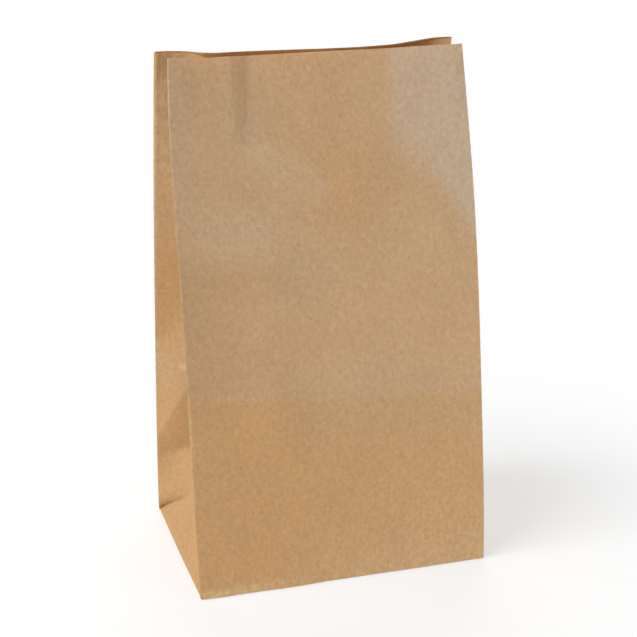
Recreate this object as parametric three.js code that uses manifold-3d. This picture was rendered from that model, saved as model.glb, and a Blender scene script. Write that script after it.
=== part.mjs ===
// Kraft paper delivery bag: one sheet folded and glued into a block-bottomed bag
// with side gussets. It stands square on its base, and its front and back lean
// together until the mouth is nearly shut, with the gussets folded in between them.
// Millimetres, +Z up, origin under the middle of the base, front panel towards -Y.

import * as THREE from 'three';
import { mergeVertices } from 'three/addons/utils/BufferGeometryUtils.js';
import Module from 'manifold-3d';

const wasm = await Module();
wasm.setup();

// Overall size
const bagWidth = 200; // front panel, fold to fold
const bagDepth = 140; // base, front to back
const bagHeight = 346; // floor to rim
const paperThick = 0.15; // one layer of kraft paper
const foldWidth = 0.8; // across the two layers beside a fold

// Mouth, measured at the rim
const leftGap = 38; // front rim to back rim at the left folds
const rightGap = 22; // the same at the right folds
const middleGap = 12; // where the back rim is pinched towards the front
const mouthSetBack = 8; // mouth line behind the middle of the base
const leftPinchStart = 12; // pinch of the back rim, from the left fold
const leftPinchEnd = 36;
const rightPinchStart = 10; // and from the right fold
const rightPinchEnd = 60;
const pinchFade = 170; // below the rim, where the back panel is flat again

// Slope with which each fold leaves the base, where 1 leans all in a straight line
const frontLeftStart = 1.2;
const frontRightStart = 0.36;
const backStart = 0;

// Glued laps
const flapOverlap = 24; // of the two base flaps, at the middle of the base
const flapTip = 36; // width of a base flap at its free edge
const flapInset = 1; // base flap, from the folds beside it
const seamWidth = 18; // lap that closes the sheet, on the back panel
const seamInset = 110; // from the left fold to that lap

// Steps of the mesh
const frontSteps = 10;
const backLeftSteps = 9;
const backRightSteps = 6;
const gussetSteps = 4;
const tuckSteps = 3;
const lowRows = 5;
const highRows = 16;

// Middle surface of the paper
const halfWidth = (bagWidth - paperThick) / 2;
const halfDepth = (bagDepth - paperThick) / 2;
const baseZ = 2 * paperThick; // the base sheet lies on its two flaps
const wallHeight = bagHeight - baseZ;
const tuckTop = halfDepth / wallHeight; // where the gusset crease starts, as a share of the height

const { lerp, smoothstep } = THREE.MathUtils;
const acrossShare = (x) => (x + halfWidth) / (2 * halfWidth);
const rimGap = (x) => lerp(leftGap, rightGap, acrossShare(x));
const leanShare = (t, start) => start * t + (1 - start) * t * t;

function frontY(x, t) {
  const lean = halfDepth + mouthSetBack - rimGap(x) / 2;
  const start = lerp(frontLeftStart, frontRightStart, acrossShare(x));
  return -halfDepth + lean * leanShare(t, start);
}

function backY(x, t) {
  const lean = halfDepth - mouthSetBack - rimGap(x) / 2;
  const fromLeft = smoothstep(halfWidth + x, leftPinchStart, leftPinchEnd);
  const fromRight = smoothstep(halfWidth - x, rightPinchStart, rightPinchEnd);
  const fromRim = 1 - smoothstep((1 - t) * wallHeight, 0, pinchFade);
  const pinch = (rimGap(x) - middleGap) * fromLeft * fromRight * fromRim;
  return halfDepth - lean * leanShare(t, backStart) - pinch;
}

// How far a gusset's crease lies inside its folds: each half of the gusset is half the
// depth of the bag wide, and the two halves span the gap between the folds
function creaseReach(side, t) {
  const fold = side * halfWidth;
  const halfGap = (backY(fold, t) - frontY(fold, t)) / 2;
  return Math.sqrt(halfDepth ** 2 - halfGap ** 2);
}

// One gusset at height share t, from the front fold to the back fold. Below the tuck's
// top a triangle of paper leans in from the base, and above it two halves meet in a crease.
function gussetRow(side, t) {
  const climb = Math.min(t / tuckTop, 1);
  const tuckReach = creaseReach(side, tuckTop);
  const reach = t < tuckTop ? tuckReach * climb : creaseReach(side, t);
  const drop = (halfDepth - Math.sqrt(halfDepth ** 2 - tuckReach ** 2)) * climb;
  const foldX = side * halfWidth;
  const creaseX = side * (halfWidth - reach);
  const meet = Math.max(t, tuckTop);
  const middle = (frontY(creaseX, meet) + backY(creaseX, meet)) / 2;
  const frontCrease = lerp(-halfDepth + 2 * foldWidth, middle - foldWidth / 2, climb);
  const backCrease = lerp(halfDepth - 2 * foldWidth, middle + foldWidth / 2, climb);
  const z = baseZ + wallHeight * t;
  const shareAt = (x, y) => (y - frontY(x, t)) / (backY(x, t) - frontY(x, t));
  const pointAt = (x, share, height) =>
    new THREE.Vector3(x, lerp(frontY(x, t), backY(x, t), share), height);
  const half = (foldY, creaseY) => {
    const foldShare = shareAt(foldX, foldY);
    const creaseShare = shareAt(creaseX, creaseY);
    return Array.from({ length: gussetSteps + 1 }, (_, step) => {
      const s = step / gussetSteps;
      return pointAt(lerp(foldX, creaseX, s), lerp(foldShare, creaseShare, s), z - drop * s);
    });
  };
  const tuck = Array.from({ length: tuckSteps - 1 }, (_, step) => {
    const y = lerp(frontCrease, backCrease, (step + 1) / tuckSteps);
    return new THREE.Vector3(creaseX, y, z - drop);
  });
  const frontHalf = half(frontY(foldX, t) + foldWidth, frontCrease);
  const backHalf = half(backY(foldX, t) - foldWidth, backCrease);
  return [...frontHalf, ...tuck, ...backHalf.reverse()];
}

const spread = (from, to, steps) => Array.from({ length: steps + 1 }, (_, i) => lerp(from, to, i / steps));

const seamLeft = -halfWidth + seamInset;
const seamRight = seamLeft + seamWidth;
const frontColumns = spread(-halfWidth, halfWidth, frontSteps);
const backColumns = [
  ...spread(-halfWidth, seamLeft, backLeftSteps),
  seamLeft + paperThick,
  seamRight - paperThick,
  ...spread(seamRight, halfWidth, backRightSteps),
].reverse();
const onSeam = (x) => x > seamLeft && x < seamRight;

// The whole bag at height share t, as a closed loop, anticlockwise from above. The lap
// that closes the sheet stands out from the back panel by seamProud.
function bagLoop(t, seamProud) {
  const z = baseZ + wallHeight * t;
  const seamY = (x) => backY(x, t) + (onSeam(x) ? seamProud : 0);
  return [
    ...frontColumns.map((x) => new THREE.Vector3(x, frontY(x, t), z)),
    ...gussetRow(1, t),
    ...backColumns.map((x) => new THREE.Vector3(x, seamY(x), z)),
    ...gussetRow(-1, t).reverse(),
  ];
}

// Moves a loop sideways at its own heights, outwards for a positive distance
function offsetLoop(loop, distance) {
  return loop.map((point, i) => {
    const before = loop.at(i - 1);
    const after = loop[(i + 1) % loop.length];
    const arriving = new THREE.Vector2(point.y - before.y, before.x - point.x).normalize();
    const leaving = new THREE.Vector2(after.y - point.y, point.x - after.x).normalize();
    const normal = arriving.clone().add(leaving).normalize();
    const mitre = distance / normal.dot(leaving);
    return new THREE.Vector3(point.x + normal.x * mitre, point.y + normal.y * mitre, point.z);
  });
}

// Closed shell up through the outside loops, over the rim and down through the inside
// loops, capped at both ends. A twisted cell of the wall is split along the same diagonal
// outside and inside, so that it keeps its thickness.
function shellSolid(outside, inside) {
  const loops = [...outside, ...inside];
  const count = loops[0].length;
  const middleOf = (loop) => loop.reduce((sum, p) => sum.add(p), new THREE.Vector3()).divideScalar(count);
  const points = [...loops.flat(), middleOf(loops[0]), middleOf(loops.at(-1))];
  const baseMiddle = count * loops.length;
  const floorMiddle = baseMiddle + 1;
  const floorLoop = baseMiddle - count;
  const triangles = [];
  for (let i = 0; i < count; i += 1) {
    const next = (i + 1) % count;
    for (let ring = 0; ring < loops.length - 1; ring += 1) {
      const [here, beside] = [ring * count + i, ring * count + next];
      const [ahead, across] = [here + count, beside + count];
      if (ring < outside.length) triangles.push(here, beside, across, here, across, ahead);
      else triangles.push(here, beside, ahead, beside, across, ahead);
    }
    triangles.push(next, i, baseMiddle, floorLoop + i, floorLoop + next, floorMiddle);
  }
  const geometry = new THREE.BufferGeometry().setFromPoints(points);
  geometry.setIndex(triangles);
  return toSolid(geometry);
}

function toSolid(geometry) {
  geometry.deleteAttribute('normal');
  geometry.deleteAttribute('uv');
  const merged = mergeVertices(geometry);
  const vertProperties = new Float32Array(merged.attributes.position.array);
  const triVerts = new Uint32Array(merged.index.array);
  return new wasm.Manifold(new wasm.Mesh({ numProp: 3, vertProperties, triVerts }));
}

const heights = [
  ...spread(0, tuckTop, lowRows).slice(0, -1),
  ...spread(tuckTop, 1, highRows),
];

// Wall and base: up the outside, over the rim, and down the inside to the floor
function wallSolid() {
  const outside = heights.map((t) => offsetLoop(bagLoop(t, paperThick), paperThick / 2));
  const inside = heights.map((t) => offsetLoop(bagLoop(t, 0), -paperThick / 2)).reverse();
  inside.at(-1).forEach((point) => { point.z = baseZ + paperThick; });
  return shellSolid(outside, inside);
}

// Base flap folded in from the front or back, from height bottom up into the base sheet
function flapSolid(side, bottom) {
  const foldY = side * halfDepth;
  const freeY = -side * flapOverlap / 2;
  const foldHalf = halfWidth - flapInset;
  const outline = new THREE.Shape([
    new THREE.Vector2(-foldHalf, foldY),
    new THREE.Vector2(foldHalf, foldY),
    new THREE.Vector2(flapTip / 2, freeY),
    new THREE.Vector2(-flapTip / 2, freeY),
  ]);
  const depth = baseZ + paperThick / 2 - bottom;
  const geometry = new THREE.ExtrudeGeometry(outline, { depth, bevelEnabled: false });
  geometry.translate(0, 0, bottom);
  return toSolid(geometry);
}

const kraft = new THREE.MeshStandardMaterial({ color: '#b99772', roughness: 0.85, metalness: 0 });

function bagMesh() {
  const solid = wallSolid().add(flapSolid(-1, paperThick)).add(flapSolid(1, 0));
  const { vertProperties, triVerts } = solid.getMesh();
  const geometry = new THREE.BufferGeometry();
  geometry.setAttribute('position', new THREE.BufferAttribute(vertProperties, 3));
  geometry.setIndex(new THREE.BufferAttribute(triVerts, 1));
  geometry.computeVertexNormals();
  const mesh = new THREE.Mesh(geometry, kraft);
  mesh.name = 'kraft_bag';
  return mesh;
}

const bag = new THREE.Group();
bag.name = 'kraft_paper_delivery_bag';
bag.add(bagMesh());

export default bag;
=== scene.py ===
import bpy
import numpy as np
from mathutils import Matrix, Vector


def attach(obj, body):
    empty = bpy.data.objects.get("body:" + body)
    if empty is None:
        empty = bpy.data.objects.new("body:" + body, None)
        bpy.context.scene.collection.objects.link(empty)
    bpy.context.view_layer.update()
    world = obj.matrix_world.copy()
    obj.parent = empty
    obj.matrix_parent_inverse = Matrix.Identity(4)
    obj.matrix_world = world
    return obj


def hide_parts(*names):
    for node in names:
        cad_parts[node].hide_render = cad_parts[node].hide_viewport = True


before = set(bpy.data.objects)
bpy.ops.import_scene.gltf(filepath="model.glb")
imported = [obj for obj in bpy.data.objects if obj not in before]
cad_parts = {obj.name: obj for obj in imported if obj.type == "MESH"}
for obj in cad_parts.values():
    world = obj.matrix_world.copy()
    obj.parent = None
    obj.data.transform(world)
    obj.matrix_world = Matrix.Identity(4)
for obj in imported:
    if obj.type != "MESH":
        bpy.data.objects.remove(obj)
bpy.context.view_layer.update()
scene = bpy.context.scene
mm = 0.001
print("frame loaded, nodes:", ", ".join(sorted(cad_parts)))

bag = {
    "width": 200.0,
    "depth": 140.0,
    "height": 346.0,
    "paper": 0.15,
    "baseSheets": 2.5,  # sheets from the floor to the middle of the base panel, over two flaps
    "foldRadius": 0.6,  # of the upright folds
    "cornerRadius": 1.3,  # of the same folds at the floor
    "cornerRise": 30.0,  # height over which the one becomes the other
    "softFold": 2.4,  # added at the rim to the radius of the left rear fold
    "softRise": (140.0, 330.0),  # heights between which it is added
    "softReach": 0.3,  # by which that fold stands out, as a share of the added radius
    # by which the left front fold stands out, up the wall, and the same of the right rear fold
    "frontReach": [(0, 0.0), (130, 0.0), (170, 0.0), (225, 0.65), (270, 1.35), (322, 1.35),
                   (346, 0.4)],
    "rearReach": [(0, 0.0), (260, 0.0), (290, 0.0), (346, -1.0)],
    "reachFade": -62.0,  # place on the front panel where the reach of its fold has died out
    "creaseWidth": 0.8,  # across the gusset's inner crease
    "creaseGrowth": 4,  # power with which that crease rounds off and wears, up the tuck
    "tuckBow": 0.6,  # below 1, the tuck's creases run forwards at a flatter angle
    "tuckFoot": 0.5,  # share of the tuck's rise in which its foot straightens out
    "baseBow": 0.45,  # of the short edges of the base, outwards
    "baseRadius": 0.8,  # where the walls turn under
    "hemShare": 0.1,  # turned-in edge, as a share of the way to the middle of the base
    # depth of the rim along the bag, left to right
    "frontRim": [(-100, -14.9), (-92, -12.8), (-80, -10.3), (-70, -8.4), (-58, -7.3), (-47, -7.6),
                 (-34, -6.8), (-14, -5.2), (16, -4.2), (40, -3.6), (66, -1.4), (84, -0.6),
                 (100, -0.4)],
    "backRim": [(-100, 29.9), (-87, 27.9), (-79, 23.8), (-73, 18.4), (-66, 14.5), (-50, 12.8),
                (-12, 7.4), (8, 4.7), (26, 3.2), (40, 3.6), (52, 4.2), (68, 9.6), (88, 16.7),
                (100, 16.8)],
    "frontFade": 80.0,  # below the rim, where its waves have died out
    "backFade": 170.0,
    # slope with which each fold leaves the base, where 1 is one straight line to the rim
    "frontStart": (1.36, 0.41),
    "backStart": (0.12, 0.0),
    # how far the right front fold is bent forwards, at what height, from what height upwards,
    # and from what place along the panel
    "rightKink": (2.4, 245.0, 95.0, 20.0),
    # how far the left and the right corner of the rim stand above the nominal height
    "frontRise": (0.9, -0.8),
    "backRise": (-0.9, 1.15),
    # added at the left front corner, where along the rim that ends, and its power up the wall
    "cornerLift": (1.8, -76.0, 4),
    "footFlare": 0.5,  # by which the folds stand out at the floor
    "flareRise": 150.0,  # height over which that dies out
    "rimCling": (0.125, 322.0),  # of the left gusset to the back panel, and from what height
    # share of its fall that a gusset's rim holds back behind, and between which shares it lets go
    "rimHold": {-1: (0.68, 0.28, 0.54), 1: (0.25, 0.36, 0.62)},
    "seamRight": 28.0,  # cut edge of the lap that closes the sheet
    "seamLeft": 10.0,  # edge of the sheet under the lap
    "lapSlope": (1.5, 1.0),  # to the left and right of that edge, where the lap climbs over it
    "flapOverlap": 24.0,
    "flapTip": 36.0,
    "flapInset": 1.0,
    "flapSheets": (1.5, 0.5),  # sheets from the floor to the front and the back flap
}
halfWidth = (bag["width"] - bag["paper"]) / 2
halfDepth = (bag["depth"] - bag["paper"]) / 2
baseZ = bag["baseSheets"] * bag["paper"]
wallHeight = bag["height"] - baseZ
tuckTop = halfDepth / wallHeight  # height share at which the gusset's crease begins


# Straight blend from low at share 0 to high at share 1
def mix(low, high, share):
    return low + (high - low) * share


# Straight ramp from 0 at low to 1 at high
def ramp(value, low, high):
    return np.clip((value - low) / (high - low), 0, 1)


# Smooth step from 0 at low to 1 at high
def ease(value, low, high):
    share = ramp(value, low, high)
    return share * share * (3 - 2 * share)


# Bell of height 1 round the middle, about 0.37 at one spread from it
def bell(value, middle, spread):
    return np.exp(-(((value - middle) / spread) ** 2))


# Cubic curve through knots, with the slope at a knot that its neighbours give
def throughKnots(value, knots):
    places, levels = np.array(knots, float).T
    slopes = np.gradient(levels, places)
    piece = np.clip(np.searchsorted(places, value) - 1, 0, len(places) - 2)
    width = places[piece + 1] - places[piece]
    share = np.clip((value - places[piece]) / width, 0, 1)
    flip = 1 - share
    rise = share * share * (3 - 2 * share)
    return (
        levels[piece] * (1 - rise)
        + levels[piece + 1] * rise
        + width * share * flip * (slopes[piece] * flip - slopes[piece + 1] * share)
    )


# Depth of a panel: its base line, plus its lean times (start t + (1 - start) t squared),
# plus the waves of its rim, which die out downwards
def panelDepth(x, t, side, rim, starts, fade):
    across = (x + halfWidth) / (2 * halfWidth)
    straightRim = mix(rim[0][1], rim[-1][1], across)
    start = mix(starts[0], starts[1], across)
    leaned = start * t + (1 - start) * t * t
    waves = (throughKnots(x, rim) - straightRim) * (1 - ease((1 - t) * wallHeight, 0, fade))
    return side * halfDepth + (straightRim - side * halfDepth) * leaned + waves


# The front panel's depth, less a bend along its right fold that grows from its foot to one
# height and dies out at the rim
def frontDepth(x, t):
    reach, level, foot, start = bag["rightKink"]
    h = t * wallHeight
    bent = np.where(h < level, ease(h, foot, level), 1 - ease(h, level, wallHeight))
    plain = panelDepth(x, t, -1, bag["frontRim"], bag["frontStart"], bag["frontFade"])
    return plain - reach * bent * ease(x, start, halfWidth)


# The back panel's depth, with its own rim and lean
def backDepth(x, t):
    return panelDepth(x, t, 1, bag["backRim"], bag["backStart"], bag["backFade"])


# Height of a point a share of the way from the front panel to the back one: the base's, plus
# t times the wall with the rise of the rim's corners, plus the lift of the left front corner
def levelAt(x, t, share):
    across = (x + halfWidth) / (2 * halfWidth)
    rise = mix(mix(*bag["frontRise"], across), mix(*bag["backRise"], across), share)
    most, end, power = bag["cornerLift"]
    lift = most * (1 - ease(x, -halfWidth, end)) * (1 - share) ** 2 * t**power
    return baseZ + (wallHeight + rise) * t + lift


# What is added to the radius of the left rear fold, from nothing up to its value at the rim
def addedRadius(t, side, facing):
    return bag["softFold"] * ease(t * wallHeight, *bag["softRise"]) * (side < 0 < facing)


# Radius of an upright fold: largest at the floor, and growing again on the left rear fold
def foldRadius(t, side=1, facing=1):
    upwards = ease(t * wallHeight, 0, bag["cornerRise"])
    return mix(bag["cornerRadius"], bag["foldRadius"], upwards) + addedRadius(t, side, facing)


# How far an upright fold stands out beyond the bag's width
def foldReach(t, side, facing):
    if side < 0 and facing < 0:
        return throughKnots(t * wallHeight, bag["frontReach"])
    if side > 0 and facing > 0:
        return throughKnots(t * wallHeight, bag["rearReach"])
    return bag["softReach"] * addedRadius(t, side, facing)


# How far a gusset's crease lies inside its folds: each half is half the bag's depth wide,
# and the two halves span the gap between the folds
def creaseReach(side, t):
    fold = side * halfWidth
    halfGap = (backDepth(fold, t) - frontDepth(fold, t)) / 2
    return np.sqrt(np.maximum(halfDepth**2 - halfGap**2, 0))


# One upright fold: an arc that leaves the panel and ends on the tangent to the crease, then
# the gusset's half from there to the crease, a blend of the front and back panels. Near the
# rim a rear half bulges back in a parabola, and its rim falls late.
def gussetHalf(side, facing, t, crease, drop, arcShares, halfShares):
    radius = foldRadius(t, side, facing)
    fold = side * halfWidth
    panel = frontDepth(fold, t) if facing < 0 else backDepth(fold, t)
    centreX = side * (halfWidth - radius + foldReach(t, side, facing))
    centreY = panel - facing * radius
    runX = side * (crease[0] - centreX)
    runY = -facing * (crease[1] - centreY)
    tangent = np.sqrt(np.maximum(runX**2 + runY**2 - radius**2, 0))
    turn = np.mod(np.arctan2(runY, runX) + np.arctan2(radius, tangent), 2 * np.pi)
    angle = turn * arcShares
    arcX = centreX + side * radius * np.sin(angle)
    arcY = centreY + facing * radius * np.cos(angle)

    # Share of the way from the front panel to the back one
    def shareAt(x, y):
        return (y - frontDepth(x, t)) / (backDepth(x, t) - frontDepth(x, t))

    lastX, lastY = arcX[:, -1:], arcY[:, -1:]
    halfX = mix(lastX, crease[0], halfShares)
    halfPlace = mix(shareAt(lastX, lastY), shareAt(*crease), halfShares)
    cling, level = bag["rimCling"]
    hold, holdEnd, letGo = bag["rimHold"][side]
    nearRim = ease(t * wallHeight, level, wallHeight) * (facing > 0)
    halfPlace = halfPlace + cling * nearRim * (side < 0) * 4 * halfShares * (1 - halfShares)
    fall = halfShares * (1 - hold * nearRim * (1 - ease(halfShares, holdEnd, letGo)))
    halfY = mix(frontDepth(halfX, t), backDepth(halfX, t), halfPlace)
    arcZ = levelAt(arcX, t, shareAt(arcX, arcY))
    halfZ = levelAt(halfX, t, halfPlace) - drop * fall
    return np.stack([arcX, arcY, arcZ], -1), np.stack([halfX, halfY, halfZ], -1)


# A whole gusset from the front panel to the back one. Below the tuck's top a triangle of
# paper leans in from the base between two creases, which then meet in one.
def gusset(side, t, shares):
    climb = np.minimum(t / tuckTop, 1)
    meet = np.maximum(t, tuckTop)
    topReach = creaseReach(side, np.full_like(t, tuckTop))
    reach = np.where(t < tuckTop, topReach * climb, creaseReach(side, t))
    drop = (halfDepth - np.sqrt(halfDepth**2 - topReach**2)) * climb
    creaseX = side * (halfWidth - reach)
    middle = (frontDepth(creaseX, meet) + backDepth(creaseX, meet)) / 2
    corner = halfDepth - foldRadius(t) - bag["creaseWidth"]
    overFoot = ease(climb, 0, bag["tuckFoot"])
    along = mix(climb, climb ** bag["tuckBow"], overFoot)
    frontCrease = mix(-corner, middle - bag["creaseWidth"] / 2, along)
    backCrease = mix(corner, middle + bag["creaseWidth"] / 2, along)
    frontArc, frontHalf = gussetHalf(
        side, -1, t, (creaseX, frontCrease), drop, shares["arc"], shares["frontHalf"]
    )
    backArc, backHalf = gussetHalf(
        side, 1, t, (creaseX, backCrease), drop, shares["arc"], shares["backHalf"]
    )
    tuckY = mix(frontCrease, backCrease, shares["tuck"])
    arch = np.sin(np.pi * shares["tuck"])
    roundOff = arch * bag["creaseWidth"] / 2 * climb ** bag["creaseGrowth"]
    bow = arch * bag["baseBow"] * (1 - overFoot)
    tuckX = creaseX - side * (roundOff - bow)
    tuckZ = levelAt(creaseX, t, 0.5) - drop + 0 * tuckY
    tuck = np.stack([tuckX, tuckY, tuckZ], -1)
    return frontArc, frontHalf, tuck, backHalf[:, ::-1], backArc[:, ::-1]


# Shares from 0 to 1: a blend of even steps and steps that crowd towards both ends
def crowded(count, pull):
    even = np.linspace(0, 1, count)
    return mix(even, ease(even, 0, 1), pull)


# Even steps within each piece, given as (from, to, steps), one piece after another
def spans(*pieces):
    parts = [np.linspace(low, high, count, endpoint=False) for low, high, count in pieces]
    return np.append(np.concatenate(parts), pieces[-1][1])


grid = {
    # rows as (from, to, steps) up the wall
    "rows": [(1.1, 8, 4), (8, 40, 10), (40, 70, 18), (70, 108, 14), (108, 128, 12),
             (128, 200, 20), (200, 232, 12), (232, 280, 14), (280, 345.6, 24)],
    # columns, and how strongly they crowd towards both ends
    "front": (106, 0.25),
    "backLeft": (58, 0.4),
    "backRight": (34, 0.6),
    "tuck": (13, 0.9),
    "half": (24, 0.7),
    "seenHalf": (46, 0.45),  # of the left gusset's rear half, which carries the dent
    "arc": 7,
    "borderColumns": (-59.3, -58.3),  # of the front, close together at a trough's sharp border
    "lapStep": 0.03,  # half the width of the step at the lap's cut edge
    "turn": 4,  # rows of the quarter circle under the base
    "hemHeights": (-8.0, -1.7, -1.3, -0.9, -0.4),  # of the rows under the base, on the flat sheet
    "flap": 13,
}
heights = spans(*grid["rows"])[:, None]
t = heights / heights[-1]
arcShares = np.linspace(0, 1, grid["arc"])[None, :]
tuckShares = crowded(*grid["tuck"])[None, 1:-1]
halfShares = crowded(*grid["half"])[None, 1:]
seenShares = crowded(*grid["seenHalf"])[None, 1:]
rightShares = {
    "arc": arcShares, "tuck": tuckShares, "frontHalf": halfShares, "backHalf": halfShares
}
leftShares = {**rightShares, "backHalf": seenShares}

# Front and back panels between their folds, left to right in front and right to left behind
edge = halfWidth - foldRadius(t)
frontShares = crowded(*grid["front"])[1:-1]
borderShares = (np.array(grid["borderColumns"]) + halfWidth) / (2 * halfWidth)
frontX = mix(-edge, edge, np.sort(np.append(frontShares, borderShares))[None, :])
widened = frontX - foldReach(t, -1, -1) * (1 - ease(frontX, -halfWidth, bag["reachFade"]))
front = np.stack([widened, frontDepth(frontX, t), levelAt(frontX, t, 0)], -1)
rearEdge = edge + foldReach(t, 1, 1)
lapRight = bag["seamRight"] + grid["lapStep"]
backRightX = mix(rearEdge, lapRight, crowded(*grid["backRight"])[None, 1:])
softEdge = halfWidth - foldRadius(t, -1, 1) + foldReach(t, -1, 1)
lapLeft = bag["seamRight"] - grid["lapStep"]
backLeftX = mix(lapLeft, -softEdge, crowded(*grid["backLeft"])[None, :-1])
backRight = np.stack([backRightX, backDepth(backRightX, t), levelAt(backRightX, t, 1)], -1)
backLeft = np.stack([backLeftX, backDepth(backLeftX, t), levelAt(backLeftX, t, 1)], -1)
rightGusset = gusset(1, t, rightShares)
leftGusset = [part[:, ::-1] for part in gusset(-1, t, leftShares)[::-1]]
sections = [backLeft, *leftGusset, front, *rightGusset, backRight]
points = np.concatenate(sections, axis=1)
print("wall grid", points.shape)

wallNormals = np.cross(
    np.roll(points, -1, axis=1) - np.roll(points, 1, axis=1), np.gradient(points, axis=0)
)
wallNormals /= np.linalg.norm(wallNormals, axis=-1, keepdims=True)

# Places on the flat sheet, from the lap's cut edge round to it again
panelSide = bag["width"] / 2
gussetSide = bag["depth"] / 2
leftBackFold = bag["seamRight"] + panelSide
leftFrontFold = leftBackFold + bag["depth"]
rightFrontFold = leftFrontFold + bag["width"]
rightBackFold = rightFrontFold + bag["depth"]
sheetWidth = rightBackFold + panelSide - bag["seamRight"]
tuckClimb = np.minimum(t / tuckTop, 1)


# Places on a gusset's half, from its fold to the crease, which starts at the fold at the base
def gussetFlat(fold, way, shares):
    return fold + way * gussetSide * tuckClimb * shares


# Places on the tuck, between the creases of the gusset's two halves
def tuckFlat(frontFold, way, shares):
    backFold = frontFold + way * bag["depth"]
    return mix(gussetFlat(frontFold, way, 1), gussetFlat(backFold, -way, 1), shares)


# Places on an upright fold, one radius wide, before or after the fold's own line
def arcFlat(fold, way, facing=-1):
    radius = foldRadius(t, way * facing, facing)
    return fold + way * radius * (1 - arcShares[:, ::-way])


flat = np.concatenate(
    [
        bag["seamRight"] - backLeftX,
        arcFlat(leftBackFold, -1, 1),
        gussetFlat(leftBackFold, 1, seenShares),
        tuckFlat(leftFrontFold, -1, tuckShares[:, ::-1]),
        gussetFlat(leftFrontFold, -1, halfShares[:, ::-1]),
        arcFlat(leftFrontFold, 1),
        leftFrontFold + panelSide + frontX,
        arcFlat(rightFrontFold, -1),
        gussetFlat(rightFrontFold, 1, halfShares),
        tuckFlat(rightFrontFold, 1, tuckShares),
        gussetFlat(rightBackFold, -1, halfShares[:, ::-1]),
        arcFlat(rightBackFold, 1, 1),
        rightBackFold + panelSide - backRightX,
    ],
    axis=1,
)
print("flat sheet", round(sheetWidth), "mm round")


# Windows that bound a mark along one measure. This one goes smoothly from first to last.
def rising(low, high, first=0, last=1):
    return lambda value: mix(first, last, ease(value, low, high))


# From 1 smoothly down to 0
def falling(low, high):
    return lambda value: 1 - ease(value, low, high)


# Smoothly up from 0 at start to 1 at full, and down from 1 at last to 0 at end
def between(start, full, last, end):
    return lambda value: ease(value, start, full) * (1 - ease(value, last, end))


# From first at low in a straight line to last at high
def straight(low, high, first=0, last=1):
    return lambda value: mix(first, last, ramp(value, low, high))


# Bell round the middle
def around(middle, spread):
    return lambda value: bell(value, middle, spread)


# 1, less a share of a bell round the middle
def dip(middle, spread, share):
    return lambda value: 1 - share * bell(value, middle, spread)


# Ridge of height 1 at 0, with straight slopes of two lengths above and below
def roof(above, below):
    return lambda value: np.where(value > 0, ramp(value, above, 0), ramp(value, -below, 0))


# Product of windows on the same measure
def product(*windows):
    return lambda value: np.prod([window(value) for window in windows], axis=0)


# One mark: its strength, and a window on each measure that bounds it
def mark(strength, **windows):
    return strength, windows


# Sum of marks, each its strength times its windows
def layMarks(marks, measures):
    total = 0
    for strength, windows in marks:
        layer = strength
        for name, window in windows.items():
            layer = layer * window(measures[name])
        total = total + layer
    return total


# Slow waves of handled paper: height, length across, length up, and turns of the phase
handled = [(0.16, 17, 41, 1), (0.12, 31, -23, 2), (0.1, 60, 15, 3)]
phases = {  # of these waves on each wall
    "back": 0.4,
    "leftRear": 1.3,
    "leftFront": 2.1,
    "front": 0.9,
    "rightFront": 3.3,
    "rightRear": 4.2,
}


# Sum of long sines over u across and h up, which cross at odd angles
def handledWaves(u, h, phase):
    return sum(
        height * np.sin(u / across + h / upwards + turns * phase)
        for height, across, upwards, turns in handled
    )


frontFolds = {
    # height of the crease left by folding the base flat, left and right
    "baseCrease": (129.0, 120.5),
    "buckle": (220.0, 213.0),  # height of the buckle's crest, at the left fold and where it ends
    "buckleEnd": -20.0,
    # lower border of the puffed upper right corner
    "flareLine": [(44, 286), (58, 277), (71, 267), (84, 251), (97, 230), (100, 224)],
    "pinchPoint": (-4.0, 257.0),  # foot of the V-shaped crease under the rim
    "pinchSlopes": (0.66, 1.24),  # rise of its left and right arms
    # upright troughs under the rim: left edge, right edge, height of the foot, depth there, and
    # how much painted shade and grey painted shade each gets, and how far its left lip is paled by
    # wear and painted highlight
    "troughs": [(-58.8, -48.6, 298.0, 2.4, 0.43, 0.16, 0.1), (-91.0, -79.0, 308.0, 1.5, 0.12, 0, 0)],
    # patches of painted shade and of grey painted shade: place along and up the panel, spread along
    # and up, strength
    "paintedShadePatches": [(100, 325, 7, 22, 0.2), (32, 270, 20, 34, 0.13), (-52, 265, 16, 18, 0.09),
                    (61, 318, 13, 30, 0.13), (-73, 338, 8, 18, 0.1), (-28, 305, 15, 30, 0.05),
                    (15, 243, 16, 12, 0.06), (62, 192, 16, 22, 0.06)],
    "soilPatches": [(-100, 230, 14, 120, 0.1), (-20, 210, 24, 26, 0.07), (90, 260, 18, 30, 0.06)],
    # wave of the panel's foot along the floor, and the height at which it has died out
    "footWave": [(-100, 0.2), (-62, 0.1), (-36, 0.9), (-4, -0.7), (14, -0.6), (44, 0.2), (100, 0.0)],
    "footWaveRise": 40.0,
    "edgeTaper": 14.0,  # width beside a fold in which a panel's relief dies out
}


# Measures of the front panel: the place along it, the height, and the height over its lines
def frontMeasures(x, h):
    f = frontFolds
    crest = mix(*f["buckle"], ramp(x, -panelSide, f["buckleEnd"]))
    flareX = np.clip(x, f["flareLine"][0][0], f["flareLine"][-1][0])
    footX, footH = f["pinchPoint"]
    leftSlope, rightSlope = f["pinchSlopes"]
    return {
        "x": x,
        "h": h,
        "overCrease": h - mix(*f["baseCrease"], (x + panelSide) / bag["width"]),
        "overCrest": h - crest,
        "overFlare": h - throughKnots(flareX, f["flareLine"]),
        "overLeftArm": h - footH - (footX - x) * leftSlope,
        "overRightArm": h - footH - (x - footX) * rightSlope,
    }
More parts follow.
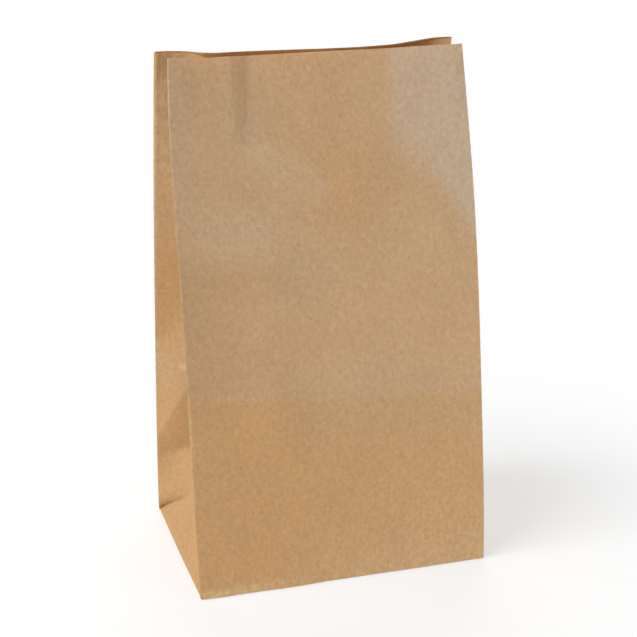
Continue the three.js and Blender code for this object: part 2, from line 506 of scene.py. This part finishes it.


# Marks of the front panel: relief outwards in millimetres, and shares of the colour of wear
# and painted highlight, of the painted sheen and of the painted shade
frontMarks = {
    "relief": [
        # crease left by the folded base, buckle at the left fold
        mark(-1.3, overCrease=product(straight(0, 55), falling(65, 150)), x=rising(-60, -25)),
        mark(2.1, overCrest=roof(36, 15), x=between(-100, -80, -50, -10)),
        # puffed upper right corner, across it and down it
        mark(1.3, x=product(straight(44, 84), falling(76, 101)), overFlare=rising(-22, 6)),
        mark(1.1, overFlare=product(straight(70, 0), rising(-22, 2)), x=between(38, 64, 76, 101)),
        # arms of the V-shaped crease
        mark(-1.6, overLeftArm=between(-3, 6, 14, 60), x=between(-58, -42, -2, 14)),
        mark(-0.7, overRightArm=between(-3, 8, 14, 50), x=between(-6, 6, 18, 30)),
        mark(0.45, h=straight(5.5, 0), x=rising(-70, -20, 1, 0.3)),  # lip along the floor
    ],
    "wearAndHighlight": [
        mark(0.12, overCrease=around(0, 1.5)),
        mark(0.8, h=falling(4, 7), x=falling(-80, -20)),  # pale band along the floor, wear and painted highlight
        # painted light from the floor: paler and greyer low on the panel towards the right
        mark(0.2, h=falling(0, 65), x=rising(-60, 10)),
        mark(0.15, h=falling(4, 22), x=rising(-60, 10)),
        mark(0.14, h=around(95, 35), x=rising(86, 97)),  # beside the right fold
    ],
    # painted sheen: greyer where the paper faces the light from above
    "paintedSheen": [
        mark(0.04, x=rising(-60, 80)),
        mark(0.05, h=falling(0, 65), x=rising(-60, 10)),
        mark(0.11, overCrease=rising(-4, 4)),
        mark(0.08, h=rising(150, 300)),
        mark(0.34, overFlare=rising(-16, 14), x=rising(40, 54)),  # painted sheen on the puffed corner
        mark(0.08, x=falling(-94, -66), h=rising(170, 230)),
        mark(0.15, h=between(204, 232, 238, 274), x=between(-100, -70, -60, 0)),  # painted sheen on the buckle
        mark(-0.08, x=around(5, 38), h=rising(210, 260)),
        mark(-0.08, x=around(8, 26), h=around(262, 34)),
        mark(0.14, overLeftArm=around(2, 16), x=between(-62, -40, -6, 10)),
        mark(0.05, x=around(-17, 18), h=around(205, 18)),
        mark(0.04, x=around(22, 26), h=around(138, 16)),
    ],
    # grey painted shade, which adds to both the painted sheen and the painted shade
    "soil": [
        mark(0.07, overCrease=rising(-4, 4)),
        mark(0.12, overCrease=around(-8, 24), x=rising(-45, -15)),
    ],
    "greyShadeDarkening": 0.9,  # share of the grey painted shade that also darkens
    # painted shade
    "paintedShade": [
        mark(0.1, overCrest=around(-12, 12), x=falling(-60, 0)),  # painted shade under the buckle
        mark(0.085, overFlare=around(-20, 15), x=between(30, 50, 80, 98)),  # painted shade below the puffed corner
        # painted shade along the left fold
        mark(1, x=falling(-104, -50), h=product(rising(105, 135), rising(240, 285, 0.19, 0.1))),
        mark(0.08, x=falling(-98, -74), h=falling(10, 55)),
    ],
}
for kind in ("paintedShade", "soil"):
    for place, level, along, upwards, strength in frontFolds[kind + "Patches"]:
        frontMarks[kind].append(mark(strength, x=around(place, along), h=around(level, upwards)))
# A trough deepens in a straight line from the rim to its foot, and its painted shade is
# darkest at its right border and the rim
for left, right, foot, depth, shadeStrength, greyShadeStrength, rubbedAndLit in frontFolds["troughs"]:
    sunk = between(left - 3, left + 2, right - 4, right + 5)
    deepening = product(straight(bag["height"], foot), rising(foot - 24, foot))
    bordered = between(left - 0.6, left + 0.6, right - 3, right + 3)
    shadeAlong = product(bordered, straight(left, right, 0.5))
    shadeUp = product(rising(foot - 12, foot + 10), straight(foot, bag["height"], 0.5))
    greyShadeSpan = between(left - 8, left, right, right + 8)
    frontMarks["relief"].append(mark(-depth, x=sunk, h=deepening))
    frontMarks["paintedShade"].append(mark(shadeStrength, x=shadeAlong, h=shadeUp))
    frontMarks["soil"].append(mark(greyShadeStrength, x=greyShadeSpan, h=rising(foot - 20, foot + 10)))
    frontMarks["wearAndHighlight"].append(mark(rubbedAndLit, x=around(left - 2.6, 2), h=rising(foot - 13, foot + 7)))


# Relief of the front panel, outwards: its marks, a wave along the floor and the slow waves
def frontRelief(x, h):
    marks = layMarks(frontMarks["relief"], frontMeasures(x, h))
    foot = throughKnots(x, frontFolds["footWave"]) * (1 - ease(h, 0, frontFolds["footWaveRise"]))
    return marks + foot + handledWaves(x, h, phases["front"])


leftFolds = {
    # lines across the dented half: height at the rear fold, and rise to the inner crease
    "upperCrease": (135.0, 62.0),
    "crest": (58.0, 116.0),
    "dentEdge": (41.5, 44.0),
    "nick": (112.0, 28.0),
    "crestRoom": (1.0, 20.0),  # by which the crest stays over the dent's edge and under the crease
    "dentFoot": 12.0,  # height at which the dent has come back to the base
    "crestOut": 3.2,
    "dentIn": 2.2,
    "softened": 3.0,  # height by which the profile is averaged, up and down
    "swellAlong": between(0, 0.42, 0.75, 1),  # share of the swell and the dent across the half
    "plainShare": 0.5,  # of the other walls' relief
}
nickGlint = {"overNick": around(2.6, 2), "s": around(0.41, 0.065)}  # painted highlight and sheen: short bright dash along the nick
leftMarks = {
    "relief": [
        mark(-0.25, overNick=around(0, 1.3), s=between(0.03, 0.08, 0.33, 0.38)),
        mark(-1.3, s=rising(0.45, 1), h=between(0, 4, 7, 20)),  # tuck's crease at the base
    ],
    "wearAndHighlight": [
        mark(0.3, overEdge=around(0, 1.5), s=rising(0.05, 0.2)),
        mark(1.5, **nickGlint),
        # painted light: the half lighter up the wall and towards the rim, most beside the rear fold
        mark(0.22, h=rising(195, 222)),
        mark(0.72, h=around(290, 34), s=rising(0, 0.04)),
        mark(1.1, h=rising(300, 335), s=between(0.01, 0.04, 0.07, 0.1)),
        mark(0.8, h=rising(334, 342), s=around(0.13, 0.05)),
    ],
    # painted sheen on the swell and at the nick
    "paintedSheen": [mark(0.12, h=around(118, 22)), mark(0.35, **nickGlint)],
    "paintedShade": [
        mark(0.2, overUpper=between(-2, 3, 25, 100)),  # painted shade above the upper crease
        # painted shade in the dent and under its edge
        mark(1, underCrest=rising(-3, 6), overEdge=rising(-5, 3), s=rising(0, 0.25, 0.54, 0.42)),
        mark(0.24, overEdge=around(-7, 8), s=falling(0.08, 0.35)),
        mark(1, toCrease=around(0, 6), h=falling(2, 44)),  # painted shade in the corner of the tuck
        mark(0.14, h=around(116, 22), s=rising(0.1, 0.35)),  # painted shade on the swell
    ],
    "arcShade": [mark(0.4, h=rising(290, 325))],  # painted shade of the rear fold near the rim
    # painted shade on the tuck
    "tuckShade": [mark(0.12, climb=falling(0.9, 1))],
}


# Height on a line across a gusset's half, which rises straight from its fold
def lineAt(line, s):
    return line[0] + line[1] * s


# Measures of the dented half: share, height, distance to the crease, and heights over its lines
def leftMeasures(s, h):
    f = leftFolds
    return {
        "s": s,
        "h": h,
        "overUpper": h - lineAt(f["upperCrease"], s),
        "overEdge": h - lineAt(f["dentEdge"], s),
        "underCrest": lineAt(f["crest"], s) - h,
        "overNick": h - lineAt(f["nick"], s),
        "toCrease": (1 - s) * gussetSide * tuckClimb,
    }


# Relief of the left gusset's rear half: below the upper crease it swells to a round crest,
# then sinks faster and faster to the dent's sharp lower edge and comes back to the base
def leftRearRelief(s, h):
    f = leftFolds
    upper = lineAt(f["upperCrease"], s)
    edge = lineAt(f["dentEdge"], s)
    overEdge, underUpper = f["crestRoom"]
    crest = np.clip(lineAt(f["crest"], s), edge + overEdge, upper - underUpper)

    # Parabolas from the upper crease over the crest to the edge, and a straight line below
    def profile(level):
        swell = f["crestOut"] * (1 - ramp(level, crest, upper) ** 2)
        sink = f["crestOut"] - (f["crestOut"] + f["dentIn"]) * ramp(level, crest, edge) ** 2
        back = -f["dentIn"] * ramp(level, f["dentFoot"], edge)
        return np.where(level > crest, swell, np.where(level > edge, sink, back))

    shape = sum(profile(h + step) for step in (-f["softened"], 0, f["softened"])) / 3
    return shape * f["swellAlong"](s) + layMarks(leftMarks["relief"], leftMeasures(s, h))


plainWall = {
    # soft crease at the height where the base was folded flat
    "relief": [mark(-0.8, h=product(straight(124, 180), falling(190, 270)))],
    "waves": 2.0,  # share of the slow waves
    "wavesFrom": 25.0,  # height at which they have set in
    # painted sheen, greyer up the wall
    "paintedSheen": [mark(0.04, h=rising(120, 320))],
}


# Relief of the other walls: a soft crease, and slow waves that set in over the base
def plainRelief(u, h, phase):
    waves = plainWall["waves"] * handledWaves(u, h, phase) * ease(h, 0, plainWall["wavesFrom"])
    return layMarks(plainWall["relief"], {"h": h}) + waves


# The lap stands proud by one sheet from its cut edge to where the sheet under it ends
def lapRelief(x):
    before, after = bag["lapSlope"]
    proud = ease(x, bag["seamLeft"] - before, bag["seamLeft"] + after)
    return bag["paper"] * proud * (x < bag["seamRight"])


# Relief of a gusset's half: the plain one, times a half sine that keeps it off both folds
def halfRelief(shares, fold, way, phase):
    flatPlace = gussetFlat(fold, way, shares)
    return plainRelief(flatPlace, heights, phase) * np.sin(np.pi * shares)


# 1 on a panel, with a parabola down to 0 at each fold
def panelTaper(x):
    return 1 - ramp(np.abs(x), panelSide - frontFolds["edgeTaper"], panelSide) ** 2


# Relief of the back panel: the plain one, off the folds, and the lap
def backRelief(x):
    return plainRelief(x, heights, phases["back"]) * panelTaper(x) + lapRelief(x)


arcCount = arcShares.shape[1]
tuckCount = tuckShares.shape[1]
stillArc = np.zeros((len(heights), arcCount))
stillTuck = np.zeros((len(heights), tuckCount))
seenRelief = halfRelief(seenShares, leftBackFold, 1, phases["leftRear"])
relief = np.concatenate(
    [
        backRelief(backLeftX),
        stillArc,
        leftRearRelief(seenShares, heights) + leftFolds["plainShare"] * seenRelief,
        stillTuck,
        halfRelief(halfShares[:, ::-1], leftFrontFold, -1, phases["leftFront"]),
        stillArc,
        frontRelief(frontX, heights) * panelTaper(frontX),
        stillArc,
        halfRelief(halfShares, rightFrontFold, 1, phases["rightFront"]),
        stillTuck,
        halfRelief(halfShares[:, ::-1], rightBackFold, -1, phases["rightRear"]),
        stillArc,
        backRelief(backRightX),
    ],
    axis=1,
)
points = points + wallNormals * relief[..., None]
points[..., 0] *= 1 + bag["footFlare"] / halfWidth * (1 - ease(heights, 0, bag["flareRise"]))

rubbing = {
    "foldSpread": 1.0,  # of the pale line along a fold
    # wear of each upright fold, up the wall
    # the left front fold's bright spot at the nick's height is a painted highlight
    "leftFront": [mark(0.08), mark(0.8, h=around(113, 17)), mark(0.12, h=rising(300, 330))],
    "leftRear": [
        mark(0.5, h=product(rising(20, 140, 0.4), rising(310, 330, 1, 0.3), dip(150, 14, 0.6))),
    ],
    "rightFront": [mark(0.1)],
    "rightRear": [mark(0.4)],
    "creaseWear": 0.5,
    # of the back rim, where the mouth is pinched
    "backRim": [mark(0.9, h=around(bag["height"], 6), x=around(2, 30))],
    "floorEdge": [mark(0.4, h=around(0, 1.5))],  # least wear and painted highlight of every wall along the floor
    "under": 0.6,  # of the edges turned under the base
    "flaps": 0.1,
}


# Wear of an upright fold, up the wall
def foldWear(name):
    return layMarks(rubbing[name], {"h": heights}) + 0 * heights


# Wear of a gusset's half: pale along its fold and its inner crease
def halfWear(shares, name):
    along = shares * gussetSide
    fold = foldWear(name) * bell(along, 0, rubbing["foldSpread"])
    return fold + rubbing["creaseWear"] * bell(along, gussetSide, rubbing["foldSpread"])


# Wear of a panel: its left and right folds, and its marks
def panelWear(x, left, right, marks, measures):
    rubbedAndLit = np.where(x < 0, foldWear(left), foldWear(right))
    fold = rubbedAndLit * bell(panelSide - np.abs(x), 0, rubbing["foldSpread"])
    return fold + layMarks(marks, measures)


# Wear of the back panel: its two folds and its rim
def backWear(x):
    return panelWear(x, "leftRear", "rightRear", rubbing["backRim"], {"x": x, "h": heights})


onFront = frontMeasures(frontX, heights)
onDent = leftMeasures(seenShares, heights)
foldArc = np.ones((len(heights), arcCount))
tuckWear = rubbing["creaseWear"] * tuckClimb ** bag["creaseGrowth"]
softTuck = np.repeat(tuckWear, tuckCount, axis=1)
wearAndHighlight = np.concatenate(
    [
        backWear(backLeftX),
        foldWear("leftRear") * foldArc,
        halfWear(seenShares, "leftRear") + layMarks(leftMarks["wearAndHighlight"], onDent),
        softTuck,
        halfWear(halfShares[:, ::-1], "leftFront"),
        foldWear("leftFront") * foldArc,
        panelWear(frontX, "leftFront", "rightFront", frontMarks["wearAndHighlight"], onFront),
        foldWear("rightFront") * foldArc,
        halfWear(halfShares, "rightFront"),
        softTuck,
        halfWear(halfShares[:, ::-1], "rightRear"),
        foldWear("rightRear") * foldArc,
        backWear(backRightX),
    ],
    axis=1,
)
wearAndHighlight = np.maximum(wearAndHighlight, layMarks(rubbing["floorEdge"], {"h": heights}))

# Painted sheen and painted shade: the front panel and its two folds, and the dented half beside
# its rear fold and the tuck
frontStart = sum(part.shape[1] for part in sections[:6])
frontEnd = frontStart + frontX.shape[1]
paintedSheen = np.repeat(layMarks(plainWall["paintedSheen"], {"h": heights}), points.shape[1], axis=1)
paintedShade = np.zeros_like(paintedSheen)
soil = layMarks(frontMarks["soil"], onFront)
paintedSheen[:, frontStart:frontEnd] = layMarks(frontMarks["paintedSheen"], onFront) + soil
paintedShade[:, frontStart:frontEnd] = layMarks(frontMarks["paintedShade"], onFront) + frontMarks["greyShadeDarkening"] * soil
for layer in (paintedSheen, paintedShade):
    layer[:, frontStart - arcCount : frontStart] = layer[:, frontStart : frontStart + 1]
    layer[:, frontEnd : frontEnd + arcCount] = layer[:, frontEnd - 1 : frontEnd]
dentStart = sum(part.shape[1] for part in sections[:2])
dentEnd = dentStart + seenShares.shape[1]
paintedShade[:, dentStart - arcCount : dentStart] = layMarks(leftMarks["arcShade"], onDent)
paintedShade[:, dentStart:dentEnd] = layMarks(leftMarks["paintedShade"], onDent)
paintedShade[:, dentEnd : dentEnd + tuckCount] = layMarks(leftMarks["tuckShade"], {"climb": tuckClimb})
paintedSheen[:, dentStart:dentEnd] += layMarks(leftMarks["paintedSheen"], onDent)

# The walls turn under the base on a quarter circle, each row a smaller copy of the one above
# so that no fold crosses another, and end in a hem that lies flat
turnAngles = np.linspace(0, np.pi / 2, grid["turn"] + 1)[1:, None]
drawnIn = bag["baseRadius"] * (1 - np.cos(turnAngles))
turned = np.repeat(points[:1], grid["turn"], axis=0)
turned[..., 0] *= 1 - drawnIn / halfWidth
turned[..., 1] *= 1 - drawnIn / halfDepth
turned[..., 2] = baseZ + bag["baseRadius"] * (1 - np.sin(turnAngles))
ridge = halfWidth - halfDepth
hem = turned[-1:].copy()
hem[..., 0] = mix(hem[..., 0], np.clip(hem[..., 0], -ridge, ridge), bag["hemShare"])
hem[..., 1] = mix(hem[..., 1], 0, bag["hemShare"])
points = np.concatenate([hem, turned[::-1], points], axis=0)
hemHeights = np.array(grid["hemHeights"])[:, None]
sheetHeights = np.concatenate([hemHeights, heights])
underRows = len(hemHeights)


# Values of the wall with rows of one level under them
def addUnder(values, level):
    under = np.full((underRows, values.shape[1]), level)
    return np.concatenate([under, values])


wearAndHighlight = addUnder(wearAndHighlight, rubbing["under"])
paintedSheen = addUnder(paintedSheen, 0.0)
paintedShade = addUnder(paintedShade, 0.0)
flat = np.concatenate([np.repeat(flat[:1], underRows, axis=0), flat])

# Faces of the wall, row by row, and the base panel inside the hem
rowCount, columnCount = points.shape[:2]
index = np.arange(rowCount * columnCount).reshape(rowCount, columnCount)
beside = np.roll(index, -1, axis=1)
quads = np.stack([index[:-1], beside[:-1], beside[1:], index[1:]], -1).reshape(-1, 4)
baseFace = index[0, ::-1]
closedFlat = np.concatenate([flat, flat[:, :1] + sheetWidth], axis=1)
corners = [(0, 0), (0, 1), (1, 1), (1, 0)]
cornerFlat = np.stack(
    [closedFlat[up : rowCount - 1 + up, on : columnCount + on] for up, on in corners], -1
)
cornerHeights = np.stack(
    [np.repeat(sheetHeights[up : rowCount - 1 + up], columnCount, axis=1) for up, on in corners], -1
)
wallUv = np.stack([cornerFlat, cornerHeights], -1).reshape(-1, 2)
baseUv = points[0, ::-1, :2] + [leftFrontFold + panelSide, -bag["depth"]]

# Base flaps: trapeziums folded in from the front and the back, one over the other
flapShares = np.linspace(0, 1, grid["flap"])


# One flap: half its width goes straight from the fold's to the tip's on its way over the middle
def flapGrid(side, sheets):
    inShare = flapShares[:, None]
    halfSpan = mix(halfWidth - bag["flapInset"], bag["flapTip"] / 2, inShare)
    x = side * halfSpan * (2 * flapShares[None, :] - 1)
    foldY = side * (halfDepth - bag["flapInset"])
    y = mix(foldY, -side * bag["flapOverlap"] / 2, inShare) + 0 * x
    return np.stack([x, y, sheets * bag["paper"] + 0 * x], -1).reshape(-1, 3)


frontSheets, backSheets = bag["flapSheets"]
flapPoints = np.concatenate([flapGrid(-1, frontSheets), flapGrid(1, backSheets)])
flapSide = grid["flap"]
cell = np.arange(flapSide**2).reshape(flapSide, flapSide)
oneFlap = np.stack([cell[:-1, :-1], cell[1:, :-1], cell[1:, 1:], cell[:-1, 1:]], -1).reshape(-1, 4)
flapCells = np.concatenate([oneFlap, oneFlap + flapSide**2])
flapQuads = rowCount * columnCount + flapCells
flapUv = flapPoints[flapCells.reshape(-1), :2] - [0, bag["depth"]]

allPoints = np.concatenate([points.reshape(-1, 3), flapPoints])
allFaces = quads.tolist() + [baseFace.tolist()] + flapQuads.tolist()
allUv = np.concatenate([wallUv, baseUv, flapUv])
# wear with painted highlights, painted sheen and painted shade, as attributes of the points
layers = {"wearAndHighlight": (wearAndHighlight, rubbing["flaps"]), "paintedSheen": (paintedSheen, 0.0), "paintedShade": (paintedShade, 0.0)}

mesh = bpy.data.meshes.new("paper_bag")
mesh.from_pydata((allPoints * mm).tolist(), [], allFaces)
mesh.polygons.foreach_set("use_smooth", np.ones(len(mesh.polygons), bool))
sheetMap = mesh.uv_layers.new(name="sheet")
sheetMap.data.foreach_set("uv", (allUv * mm).astype(np.float32).reshape(-1))
for name, (wallValues, flapValue) in layers.items():
    values = np.append(wallValues.reshape(-1), np.full(len(flapPoints), flapValue))
    attribute = mesh.attributes.new(name, "FLOAT", "POINT")
    attribute.data.foreach_set("value", np.clip(values, 0, 1).astype(np.float32))
mesh.update()
paperBag = bpy.data.objects.new("paper_bag", mesh)
scene.collection.objects.link(paperBag)
thickness = paperBag.modifiers.new("paper thickness", "SOLIDIFY")
thickness.thickness = bag["paper"] * mm
thickness.offset = 0
shading = paperBag.modifiers.new("flat rim", "WEIGHTED_NORMAL")
shading.keep_sharp = True
print("paper bag:", len(mesh.polygons), "faces")

paper = {
    "brown": (0.500, 0.294, 0.134, 1),
    # colours of the painted sheen, of wear with painted highlight and of the painted shade
    "sheenGrey": (0.520, 0.430, 0.335, 1),
    "rubbedAndLit": (0.640, 0.440, 0.250, 1),
    "shaded": (0.305, 0.160, 0.050, 1),
    "shadeShare": 0.9,  # of the painted shade colour where the shade is deepest
    "wornLeast": 0.1,  # share of the colour of wear and painted highlight between the fibres
    "fleck": (0.190, 0.110, 0.050, 1),
    "fleckScale": 150.0,  # cells per metre in which a fleck may lie
    "fleckReach": 0.11,  # of a fleck, as a share of its cell
    "fleckShare": 0.045,  # of the cells that have one
    "roughness": 0.72,
    "roughSwing": 0.08,  # of the roughness with the fibres
    "specular": 0.2,
    # noise layers: scales across and up per metre, detail and roughness
    "shortFibres": (600, 540, 2.0, 0.5),
    "longFibres": (410, 235, 2.0, 0.5),
    "crossFibres": (300, 330, 2.0, 0.5),
    "clouds": (26, 20, 3.0, 0.55),
    "cockles": (70, 55, 2.0, 0.5),
    "layerTurn": (0.9, 0.5, 0.7),  # of every layer, so that the noise's own lattice doesn't show
    "grain": 0.13,  # swing of the fibres' tone
    "mottle": 0.09,  # swing of the clouds' tone
    "cockleBump": {"Strength": 0.5, "Distance": 0.0007},  # heights in metres
    "fibreBump": {"Strength": 0.35, "Distance": 0.00012},
    "through": 0.5,  # share of the light that goes into the paper and partly through it
    "throughReach": (1.0, 0.75, 0.5),
    "throughScale": 0.0006,
}


# An input gets a plain value, or a link from another node's output
def feed(tree, socket, value):
    if isinstance(value, bpy.types.NodeSocket):
        tree.links.new(value, socket)
    else:
        socket.default_value = value


# Node of a kind, with its settings, and its inputs by name or number
def addNode(tree, kind, inputs=None, **settings):
    node = tree.nodes.new(kind)
    for name, value in settings.items():
        setattr(node, name, value)
    for name, value in (inputs or {}).items():
        feed(tree, node.inputs[name], value)
    return node


# Value times a factor plus an offset
def scaled(tree, value, factor, offset):
    terms = {0: value, 1: factor, 2: offset}
    return addNode(tree, "ShaderNodeMath", terms, operation="MULTIPLY_ADD").outputs[0]


# Two values put through one operation, such as a sum or a product
def combined(tree, first, second, operation):
    terms = {0: first, 1: second}
    return addNode(tree, "ShaderNodeMath", terms, operation=operation).outputs[0]


# Colour from low at factor 0 to high at factor 1
def mixedColour(tree, factor, low, high):
    terms = {"Factor": factor, 6: low, 7: high}
    return addNode(tree, "ShaderNodeMix", terms, data_type="RGBA").outputs[2]


# Noise on the flat sheet, stretched by its two scales per metre and then turned
def sheetNoise(tree, place, layer):
    across, upwards, detail, roughness = paper[layer]
    turned = {"Vector": place, "Scale": (across, upwards, 1), "Rotation": paper["layerTurn"]}
    stretched = addNode(tree, "ShaderNodeMapping", turned).outputs["Vector"]
    fine = {"Vector": stretched, "Scale": 1.0, "Detail": detail, "Roughness": roughness}
    return addNode(tree, "ShaderNodeTexNoise", fine).outputs["Fac"]


# Strength of the flecks: in a few cells, fading from the middle, some fainter than others
def fleckLayer(tree, place):
    spread = {"Vector": place, "Scale": paper["fleckScale"]}
    cells = addNode(tree, "ShaderNodeTexVoronoi", spread, voronoi_dimensions="2D").outputs
    fading = {"Value": cells["Distance"], "From Max": paper["fleckReach"], "To Min": 1, "To Max": 0}
    spot = addNode(tree, "ShaderNodeMapRange", fading).outputs["Result"]
    chance = addNode(tree, "ShaderNodeSeparateColor", {"Color": cells["Color"]}).outputs
    chosen = combined(tree, chance["Red"], 1 - paper["fleckShare"], "GREATER_THAN")
    fleck = combined(tree, spot, chosen, "MULTIPLY")
    return combined(tree, fleck, chance["Green"], "MULTIPLY")


# Kraft paper: long and short fibres over slow clouds, dark flecks, with painted sheen and painted
# shade, and paler along its folds with wear and painted highlights; the fibres and a slow cockle
# also raise the surface
def makeKraft():
    material = bpy.data.materials.new("kraft_paper")
    material.use_nodes = True
    tree = material.node_tree
    place = addNode(tree, "ShaderNodeUVMap", uv_map="sheet").outputs["UV"]
    shortFibres = sheetNoise(tree, place, "shortFibres")
    longFibres = sheetNoise(tree, place, "longFibres")
    crossFibres = sheetNoise(tree, place, "crossFibres")
    fibres = combined(tree, combined(tree, shortFibres, longFibres, "ADD"), crossFibres, "ADD")
    # each noise lies round 0.5, so the sum of the fibres lies round 1.5 and both tones round 1
    grain = scaled(tree, fibres, 2 * paper["grain"], 1 - 3 * paper["grain"])
    clouds = sheetNoise(tree, place, "clouds")
    mottle = scaled(tree, clouds, 2 * paper["mottle"], 1 - paper["mottle"])
    tone = combined(tree, grain, mottle, "MULTIPLY")
    swing = paper["roughSwing"]
    rough = scaled(tree, fibres, swing, paper["roughness"] - 1.5 * swing)
    wearAndHighlightLayer, paintedSheenLayer, paintedShadeLayer = (
        addNode(tree, "ShaderNodeAttribute", attribute_name=name).outputs["Fac"] for name in layers
    )
    shaded = scaled(tree, paintedShadeLayer, paper["shadeShare"], 0.0)
    wornAndLit = combined(tree, wearAndHighlightLayer, scaled(tree, longFibres, 1.0, paper["wornLeast"]), "MULTIPLY")
    colour = mixedColour(tree, paintedSheenLayer, paper["brown"], paper["sheenGrey"])
    colour = mixedColour(tree, shaded, colour, paper["shaded"])
    colour = mixedColour(tree, wornAndLit, colour, paper["rubbedAndLit"])
    toned = addNode(tree, "ShaderNodeVectorMath", {0: colour, "Scale": tone}, operation="SCALE")
    colour = mixedColour(tree, fleckLayer(tree, place), toned.outputs[0], paper["fleck"])
    cockles = {"Height": sheetNoise(tree, place, "cockles"), **paper["cockleBump"]}
    cockled = addNode(tree, "ShaderNodeBump", cockles).outputs["Normal"]
    raised = {"Height": fibres, "Normal": cockled, **paper["fibreBump"]}
    finish = {
        "Base Color": colour,
        "Roughness": rough,
        "Normal": addNode(tree, "ShaderNodeBump", raised).outputs["Normal"],
        "Specular IOR Level": paper["specular"],
        "Subsurface Weight": paper["through"],
        "Subsurface Radius": paper["throughReach"],
        "Subsurface Scale": paper["throughScale"],
    }
    shader = tree.nodes["Principled BSDF"]
    for name, value in finish.items():
        feed(tree, shader.inputs[name], value)
    return material


mesh.materials.append(makeKraft())
print("kraft paper made")

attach(paperBag, "root")
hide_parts("kraft_bag")

studio = {
    "cameraPlace": (-0.2928, -0.9673, 0.5290),
    "cameraTurn": (70.10, -0.084, -16.885),
    "lens": 89.24,
    "sensor": 36,
    # name: place, aim, size, power
    "lamps": {
        "window": ((-1.6, 0.1, 1.0), (0, 0, 0.12), (1.2, 1.0), 8),
        "overhead": ((-1.1, -0.3, 1.5), (0, 0, 0.17), (1.2, 1.2), 26),
        "fill": ((1.15, -1.15, 0.22), (0.03, -0.05, 0.08), (0.9, 0.4), 13),
        "highFill": ((1.3, -1.4, 0.8), (0, 0, 0.17), (1.2, 1.2), 2),
        "backdrop": ((0.5, 1.5, 0.9), (0, 0, 0.17), (1.6, 1.2), 18),
    },
    "ambient": 0.16,
    "white": (1, 1, 1, 1),
    "floorReach": 4.0,
    "floorPaint": (0.9, 0.9, 0.9, 1),
    "floorRoughness": 0.9,
    "floorWhite": 0.5,  # share of plain white that the camera sees in the floor near the bag
    "floorFade": (0.12, 0.45),  # distances from the bag between which that grows to all of it
}


# Area lamp at a place, aimed at a point of the bag
def addLamp(name, place, aim, size, power):
    lamp = bpy.data.lights.new(name, "AREA")
    lamp.shape = "RECTANGLE"
    lamp.size, lamp.size_y = size
    lamp.energy = power
    holder = bpy.data.objects.new(name, lamp)
    holder.location = place
    holder.rotation_euler = (Vector(aim) - Vector(place)).to_track_quat("-Z", "Y").to_euler()
    scene.collection.objects.link(holder)


for lampName, lampValues in studio["lamps"].items():
    addLamp(lampName, *lampValues)

cameraData = bpy.data.cameras.new("camera")
cameraData.lens = studio["lens"]
cameraData.sensor_width = studio["sensor"]
camera = bpy.data.objects.new("camera", cameraData)
camera.location = studio["cameraPlace"]
camera.rotation_euler = np.radians(studio["cameraTurn"])
scene.collection.objects.link(camera)
scene.camera = camera


# Rays that should see the plain white studio: from the camera, or by way of a reflection
def seenDirectly(tree):
    path = addNode(tree, "ShaderNodeLightPath").outputs
    mirrored = combined(tree, path["Is Glossy Ray"], path["Is Transmission Ray"], "MAXIMUM")
    return combined(tree, path["Is Camera Ray"], mirrored, "MAXIMUM")


# The plain shader at share 0 and the white one at share 1, on the tree's output
def blendWhite(tree, share, plain, white, output):
    shaders = {"Fac": share, 1: plain.outputs[0], 2: white.outputs[0]}
    blend = addNode(tree, "ShaderNodeMixShader", shaders)
    tree.links.new(blend.outputs["Shader"], tree.nodes[output].inputs["Surface"])


# White floor that keeps the bag's shadow and fades to plain white away from it
def makeFloor():
    floorMesh = bpy.data.meshes.new("floor")
    reach = studio["floorReach"]
    square = [(-reach, -reach, 0), (reach, -reach, 0), (reach, reach, 0), (-reach, reach, 0)]
    floorMesh.from_pydata(square, [], [(0, 1, 2, 3)])
    paint = bpy.data.materials.new("white_floor")
    paint.use_nodes = True
    tree = paint.node_tree
    matt = tree.nodes["Principled BSDF"]
    matt.inputs["Base Color"].default_value = studio["floorPaint"]
    matt.inputs["Roughness"].default_value = studio["floorRoughness"]
    place = addNode(tree, "ShaderNodeTexCoord").outputs["Object"]
    distance = addNode(tree, "ShaderNodeVectorMath", {0: place}, operation="LENGTH").outputs["Value"]
    near, far = studio["floorFade"]
    fading = {"Value": distance, "From Min": near, "From Max": far, "To Min": studio["floorWhite"]}
    away = addNode(tree, "ShaderNodeMapRange", fading, interpolation_type="SMOOTHSTEP")
    share = combined(tree, seenDirectly(tree), away.outputs["Result"], "MULTIPLY")
    white = addNode(tree, "ShaderNodeEmission", {"Color": studio["white"], "Strength": 1.0})
    blendWhite(tree, share, matt, white, "Material Output")
    floorMesh.materials.append(paint)
    floor = bpy.data.objects.new("floor", floorMesh)
    scene.collection.objects.link(floor)


# Even grey light from all round, which the camera sees as white
def makeWorld():
    world = bpy.data.worlds.new("studio")
    scene.world = world
    world.use_nodes = True
    tree = world.node_tree
    light = tree.nodes["Background"]
    light.inputs["Color"].default_value = studio["white"]
    light.inputs["Strength"].default_value = studio["ambient"]
    white = addNode(tree, "ShaderNodeBackground", {"Color": studio["white"], "Strength": 1.0})
    blendWhite(tree, seenDirectly(tree), light, white, "World Output")


makeFloor()
makeWorld()
print("studio ready")

scene.view_settings.view_transform = "Standard"
